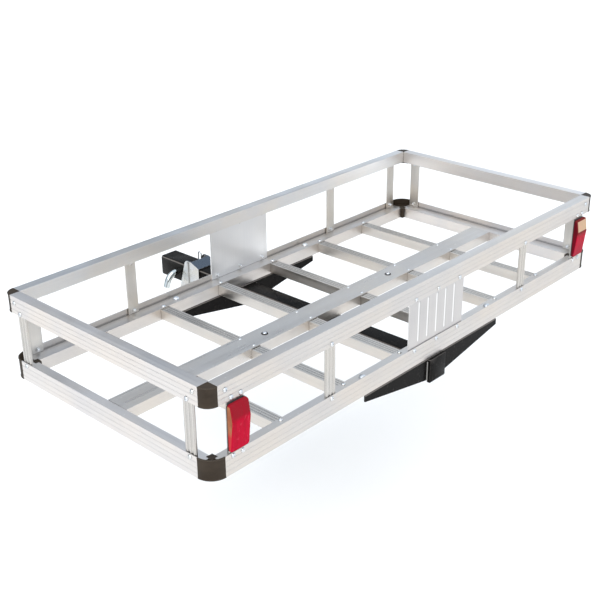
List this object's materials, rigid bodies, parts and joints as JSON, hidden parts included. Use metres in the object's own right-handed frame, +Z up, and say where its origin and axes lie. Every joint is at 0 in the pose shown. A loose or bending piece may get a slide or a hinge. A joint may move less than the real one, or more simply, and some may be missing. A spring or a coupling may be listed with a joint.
{
  "type": "hitch cargo carrier",
  "caption": "Aluminium cargo basket with double rail rings, slatted bed and tail lights on a black steel frame with a square receiver shank, pin and tightener.",
  "frame": {"origin": "middle of the hitch pin hole, on the centre line of the square shank", "axes": "+X along the carrier's length to its right seen from behind, +Y along the shank towards the vehicle, +Z up"},
  "size_m": [1.2466, 0.8375, 0.247],
  "materials": {
    "rail_aluminium": "mill-finish extrusion, lightly brushed along its length",
    "post_aluminium": "mill-finish extrusion, ribs brighter",
    "panel_aluminium": "satin sheet with pressed ribs",
    "bed_aluminium": "mill-finish extrusion, grooved on top",
    "cap_plastic": "fine-textured moulded plastic",
    "black_steel": "semi-gloss black powder coat",
    "light_housing": "moulded plastic",
    "light_board": "coated board",
    "light_lens": "clear red moulded lens with prisms",
    "zinc_hardware": "bright zinc plate",
    "zinc_plate": "zinc-plated pressed sheet, slightly mottled",
    "chrome_pin": "polished plating"
  },
  "bodies": {
    "carrier": {"upper_rail_rear": "rail_aluminium", "lower_rail_rear": "rail_aluminium", "upper_rail_right": "rail_aluminium", "lower_rail_right": "rail_aluminium", "upper_rail_front": "rail_aluminium", "lower_rail_front": "rail_aluminium", "upper_rail_left": "rail_aluminium", "lower_rail_left": "rail_aluminium", "lower_cap_rear_left": "cap_plastic", "lower_cap_rear_right": "cap_plastic", "lower_cap_front_right": "cap_plastic", "lower_cap_front_left": "cap_plastic", "upper_cap_rear_left": "cap_plastic", "upper_cap_rear_right": "cap_plastic", "upper_cap_front_right": "cap_plastic", "upper_cap_front_left": "cap_plastic", "post_rear_left": "post_aluminium", "post_rear_right": "post_aluminium", "post_right_rear": "post_aluminium", "post_right_front": "post_aluminium", "post_front_right": "post_aluminium", "corner_post_front_right": "post_aluminium", "post_front_left": "post_aluminium", "corner_post_front_left": "post_aluminium", "post_left_front": "post_aluminium", "post_left_rear": "post_aluminium", "panel_rear": "panel_aluminium", "panel_front": "panel_aluminium", "slat_1": "bed_aluminium", "slat_2": "bed_aluminium", "slat_3": "bed_aluminium", "slat_4": "bed_aluminium", "slat_5": "bed_aluminium", "slat_6": "bed_aluminium", "centre_bar": "bed_aluminium", "light_plate_left": "post_aluminium", "light_housing_left": "light_housing", "light_board_left": "light_board", "light_lens_left": "light_lens", "light_plate_right": "post_aluminium", "light_housing_right": "light_housing", "light_board_right": "light_board", "light_lens_right": "light_lens", "frame_beam_rear": "black_steel", "frame_beam_front": "black_steel", "spine_tube": "black_steel", "spine_end_block": "black_steel", "hitch_shank": "black_steel", "shank_bolt_1": "zinc_hardware", "shank_bolt_2": "zinc_hardware", "frame_bolt_rear_left": "zinc_hardware", "frame_bolt_rear_right": "zinc_hardware", "frame_bolt_front_left": "zinc_hardware", "frame_bolt_front_right": "zinc_hardware"},
    "pin": {"hitch_pin": "chrome_pin"},
    "clip": {"pin_clip": "zinc_hardware"},
    "tightener": {"tightener_saddle": "zinc_plate", "tightener_bolt": "zinc_hardware", "tightener_nut": "zinc_hardware"}
  },
  "joints": [
    {"name": "hitch_pin_turn", "type": "hinge", "parent": "carrier", "child": "pin", "pos_m": [0, 0, 0], "axis": [1, 0, 0], "continuous": true},
    {"name": "clip_pull", "type": "slide", "parent": "pin", "child": "clip", "axis": [0, 0, 1], "range_m": [0, 0.05]},
    {"name": "tightener_slide", "type": "slide", "parent": "carrier", "child": "tightener", "axis": [0, 1, 0], "range_m": [-0.055, 0]}
  ]
}
